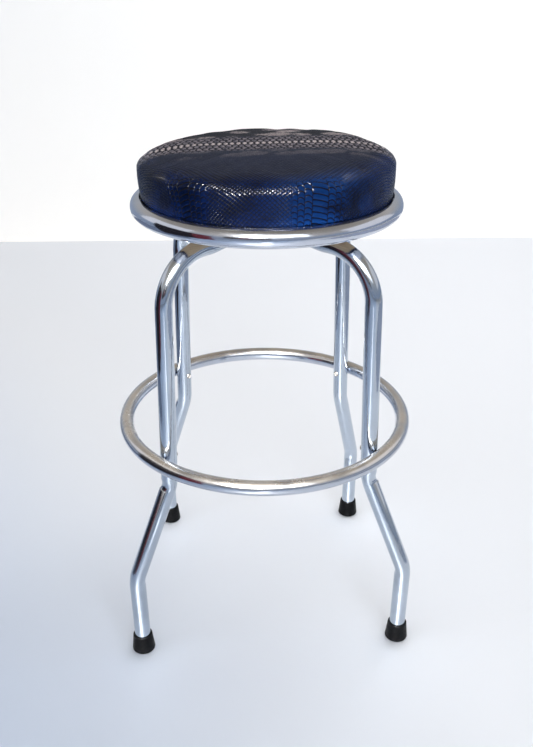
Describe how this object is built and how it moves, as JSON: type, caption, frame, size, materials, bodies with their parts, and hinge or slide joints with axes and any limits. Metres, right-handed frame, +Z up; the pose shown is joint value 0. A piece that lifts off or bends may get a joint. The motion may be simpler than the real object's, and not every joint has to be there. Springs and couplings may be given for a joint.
{
  "type": "swivel bar stool",
  "caption": "Bar stool on bent chrome tube legs with a round foot ring, rubber tips and a round vinyl cushion in a bright seat ring that swivels on a ball bearing.",
  "frame": {"origin": "on the floor, on the seat's turning axis, which is the centre of the foot ring", "axes": "+Z up along the turning axis; -Y towards the front pair of legs; +X to the right seen from the front"},
  "size_m": [0.4744, 0.4744, 0.786],
  "materials": {
    "chrome": "bright nickel-chrome plated steel tube, lightly scuffed",
    "zinc_steel": "zinc plated steel fasteners and pressed plates",
    "cage_brass": "stamped brass ball cage",
    "rubber": "black moulded rubber, matt",
    "vinyl": "navy upholstery vinyl embossed with reptile scales, glossy scale tops",
    "foam": "upholstery foam",
    "plywood": "birch plywood, unfinished"
  },
  "bodies": {
    "frame": {"leg_front_left": "chrome", "leg_front_right": "chrome", "leg_rear_left": "chrome", "leg_rear_right": "chrome", "ring_screw_front_left": "zinc_steel", "tip_front_left": "rubber", "tip_washer_front_left": "zinc_steel", "leg_bolt_front_left": "zinc_steel", "leg_nut_front_left": "zinc_steel", "ring_screw_front_right": "zinc_steel", "tip_front_right": "rubber", "tip_washer_front_right": "zinc_steel", "leg_bolt_front_right": "zinc_steel", "leg_nut_front_right": "zinc_steel", "ring_screw_rear_left": "zinc_steel", "tip_rear_left": "rubber", "tip_washer_rear_left": "zinc_steel", "leg_bolt_rear_left": "zinc_steel", "leg_nut_rear_left": "zinc_steel", "ring_screw_rear_right": "zinc_steel", "tip_rear_right": "rubber", "tip_washer_rear_right": "zinc_steel", "leg_bolt_rear_right": "zinc_steel", "leg_nut_rear_right": "zinc_steel", "foot_ring": "chrome", "swivel_lower_plate": "zinc_steel", "pivot_bolt": "zinc_steel", "pivot_washer": "zinc_steel", "pivot_nut": "zinc_steel"},
    "bearing": {"ball_cage": "cage_brass", "ball_1": "zinc_steel", "ball_2": "zinc_steel", "ball_3": "zinc_steel", "ball_4": "zinc_steel", "ball_5": "zinc_steel", "ball_6": "zinc_steel", "ball_7": "zinc_steel", "ball_8": "zinc_steel"},
    "seat": {"swivel_upper_plate": "zinc_steel", "seat_board": "plywood", "seat_ring": "chrome", "seat_cover": "vinyl", "seat_foam": "foam", "seat_screw_1": "zinc_steel", "seat_screw_2": "zinc_steel", "seat_screw_3": "zinc_steel", "seat_screw_4": "zinc_steel", "trim_screw_1": "zinc_steel", "trim_screw_2": "zinc_steel", "trim_screw_3": "zinc_steel", "trim_screw_4": "zinc_steel"}
  },
  "joints": [
    {"name": "seat_swivel", "type": "hinge", "parent": "frame", "child": "seat", "pos_m": [0, 0, 0.67], "axis": [0, 0, 1], "continuous": true},
    {"name": "cage_orbit", "type": "hinge", "parent": "frame", "child": "bearing", "pos_m": [0, 0, 0.667], "axis": [0, 0, 1], "continuous": true}
  ],
  "couplings": [
    {"joint": "cage_orbit", "follows": "seat_swivel", "ratio": 0.5}
  ]
}
